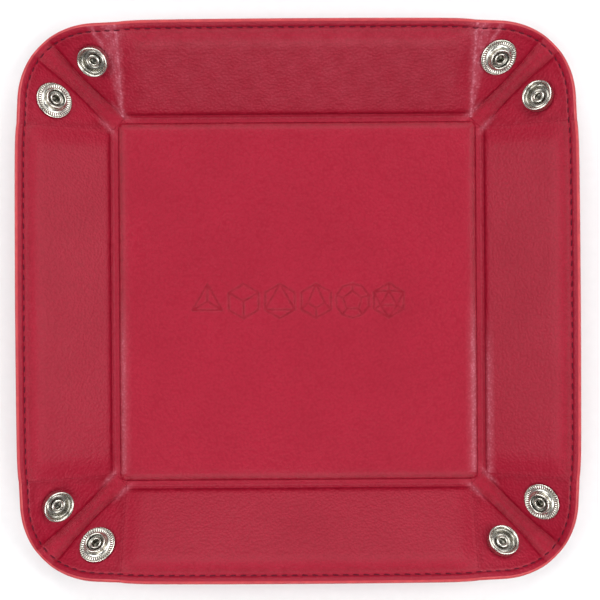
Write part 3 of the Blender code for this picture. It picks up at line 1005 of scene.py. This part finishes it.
def turned(profile, radius, segments, darkness, ribs=None):
    """Solid of revolution, in metres, as points and faces. ribs = (count, inner, outer, height)."""
    line, closed = softened(profile, radius)
    line = np.array(line)
    angles = np.linspace(0.0, 2.0 * math.pi, segments, endpoint=False)
    radii = line[:, 0][:, None] * np.ones(segments)
    heights = line[:, 1][:, None] * np.ones(segments)
    if ribs:
        count, inner, outer, rise = ribs
        on = ((line[:, 0] > inner) & (line[:, 0] < outer) & (line[:, 1] > 0.5)).astype(float)
        wave = on[:, None] * np.cos(count * angles)
        heights = heights + rise * wave
    points = np.stack([radii * np.cos(angles), radii * np.sin(angles), heights], axis=2).reshape(-1, 3)
    faces = []
    rows = len(line)
    for i in range(rows if closed else rows - 1):
        k = (i + 1) % rows
        for j in range(segments):
            m = (j + 1) % segments
            faces.append((i * segments + j, i * segments + m, k * segments + m, k * segments + j))
    # Painted shade in the hollows, and in the troughs between the ribs.
    soil = np.tile(hollow_shading(line, darkness)[:, None], segments)
    if ribs:
        soil = np.maximum(soil, 0.55 * np.maximum(0.0, -wave))
    return points * MM, faces, soil.ravel()


def hollow_shading(line, darkness):
    """How dark each profile point is: painted shade in the hollows inside the rim, and a darker middle on the
    outer side.
    """
    radius, height = line[:, 0], line[:, 1]
    rim = height.max()
    inside = ease((radius[height > rim - 0.4].min() + 0.1 - radius) / 0.3)
    front = darkness * inside * ease((rim - 0.1 - height) / 1.6)
    back = darkness * (radius < 1.8) * ease((-1.9 - height) / 0.4)
    return np.where(height > -1.5, front, back)


def spring_ring():
    """Open sprung wire ring in the socket's groove."""
    steps, round_steps = 72, 12
    angles = np.linspace(SPRING_OPENING / 2.0, 2.0 * math.pi - SPRING_OPENING / 2.0, steps)
    turn = np.linspace(0.0, 2.0 * math.pi, round_steps, endpoint=False)
    radii = SPRING_RADIUS + SPRING_WIRE * np.cos(turn)
    points = np.stack([np.outer(np.cos(angles), radii), np.outer(np.sin(angles), radii),
                       np.tile(SPRING_HEIGHT + SPRING_WIRE * np.sin(turn), (steps, 1))], axis=2)
    faces = tube_faces(steps, round_steps)
    # The ring is evenly dimmed by painted shade where it sits in the socket.
    return points.reshape(-1, 3), faces, np.full(steps * round_steps, 0.15)


def fasten(name, shape, end, side, number, flap):
    """One metal piece, set square to its flap at the snap's place."""
    points, faces, soil = shape
    points = points + np.array([SNAP[0], SNAP[1], SKIN])
    points[:, 2] -= 0.03 * MM
    points = moved(TO_FLAP, points)
    points[:, 2] += AXIS_HEIGHT
    points[:, 0] *= end
    item = make_object(name, quarter_turn(points, number), faces, [NICKEL], marks={"soil": soil})
    shape = bmesh.new()
    shape.from_mesh(item.data)
    bmesh.ops.recalc_face_normals(shape, faces=shape.faces)
    shape.to_mesh(item.data)
    shape.free()
    item.data.set_sharp_from_angle(angle=math.radians(50.0))
    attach(item, f"{side}_{flap}")
    return item


def build_snaps(side, number):
    """Socket and stud of one side, with the pieces riveted outside."""
    ribs = (44, 5.5, 6.9, 0.17)
    pieces = (
        ("socket_cup", turned(SOCKET, 0.16, 96, 0.3), -1.0, "socket_flap", "socket"),
        ("socket_dome", turned(CAP, 0.16, 96, 0.85), -1.0, "socket_flap", "socket_cap"),
        ("socket_ring", spring_ring(), -1.0, "socket_flap", "socket_spring"),
        ("stud_flange", turned(STUD, 0.14, 264, 0.7, ribs), 1.0, "stud_flap", "stud"),
        ("stud_rivet", turned(POST, 0.16, 96, 0.9), 1.0, "stud_flap", "stud_post"))
    for name, shape, end, flap, node in pieces:
        item = fasten(f"{side}_{name}", shape, end, side, number, flap)
        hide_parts(f"{side}_{node}")


# Assembly

def build_floor():
    """Lining with the pressed motif, and cover."""
    flat, faces = floor_flat(True)
    top, low = lining_heights(flat)
    depth = motif_depth(flat[:, 0], flat[:, 1])
    pressed = np.tile(depth / MOTIF_DEPTH, 2)
    lining = sheet_solid("floor_lining", flat, faces, top - depth, low, 0, LINING_HIDE, EDGE, pressed)
    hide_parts("floor_liner")
    flat, faces = floor_flat(False)
    outside = make_cover("floor_outside", flat, faces, 0)
    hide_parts("floor_cover")
    for item, slot in ((lining, "liner"), (outside, "cover")):
        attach(item, "floor")


build_floor()
floor_reach = np.linspace(-FLOOR_HALF + CORE_INSET, FLOOR_HALF - CORE_INSET, 60)
wall_reach = np.linspace(-WALL_END + 2.0 * MM, WALL_END - 2.0 * MM, 60)
wall_rise = np.linspace(FLOOR_HALF + CORE_INSET, OUTER - 5.0 * MM, 24)
make_core("floor_board", floor_reach, floor_reach, 0, "floor")
for turn_number, side_name in enumerate(SIDES):
    build_side(side_name, turn_number)
    build_stitches(side_name, turn_number)
    build_snaps(side_name, turn_number)
    make_core(side_name + "_wall_board", wall_reach, wall_rise, turn_number, side_name + "_wall")


# Stage, light and camera

def stage_floor():
    """Plain pale paper under the tray."""
    material, tree, shader = nodes_of("studio_paper")
    place = add(tree, "ShaderNodeTexCoord").outputs["Object"]
    tooth = noise(tree, place, 4.0 * MM, 4.0)
    share = mapped(tree, tooth, 0.3, 0.7, 0.0, 1.0)
    tree.links.new(mixed(tree, share, (0.87, 0.87, 0.87), (0.89, 0.89, 0.89)), shader.inputs["Base Color"])
    shader.inputs["Roughness"].default_value = 0.9
    shader.inputs["Specular IOR Level"].default_value = 0.1
    size = 4.0
    item = make_object("studio_floor", [(-size, -size, 0.0), (size, -size, 0.0), (size, size, 0.0),
                                        (-size, size, 0.0)], [(0, 1, 2, 3)], [material])
    item.location.z = -STAGE_DROP


def soft_light(name, place, width, height, power):
    """Soft box turned to the middle of the tray."""
    data = bpy.data.lights.new(name, "AREA")
    data.shape = "RECTANGLE"
    data.size = width
    data.size_y = height
    data.energy = power
    item = bpy.data.objects.new(name, data)
    item.location = place
    direction = -Vector(place)
    item.rotation_euler = direction.to_track_quat("-Z", "Y").to_euler()
    bpy.context.scene.collection.objects.link(item)


stage_floor()
soft_light("behind", (0.05, 0.95, 0.92), 1.4, 0.6, 10.5)
soft_light("right", (0.95, 0.05, 0.88), 0.6, 0.9, 8.0)
soft_light("left", (-0.95, 0.05, 0.98), 0.6, 0.9, 8.2)
soft_light("front", (0.05, -0.85, 1.0), 1.0, 0.5, 8.0)

world = bpy.data.worlds.new("studio")
bpy.context.scene.world = world
world.use_nodes = True
world.node_tree.nodes["Background"].inputs["Color"].default_value = (0.93, 0.95, 1.0, 1.0)
world.node_tree.nodes["Background"].inputs["Strength"].default_value = 0.24

lens = bpy.data.cameras.new("overhead")
lens.lens = 85.4
lens.sensor_width = 36.0
lens.clip_start = 0.01
camera = bpy.data.objects.new("overhead", lens)
camera.location = (0.78 * MM, 0.39 * MM, 560.0 * MM)
camera.rotation_euler = (0.0, 0.0, math.radians(-0.38))
bpy.context.scene.collection.objects.link(camera)
bpy.context.scene.camera = camera
bpy.context.scene.view_settings.view_transform = "Standard"
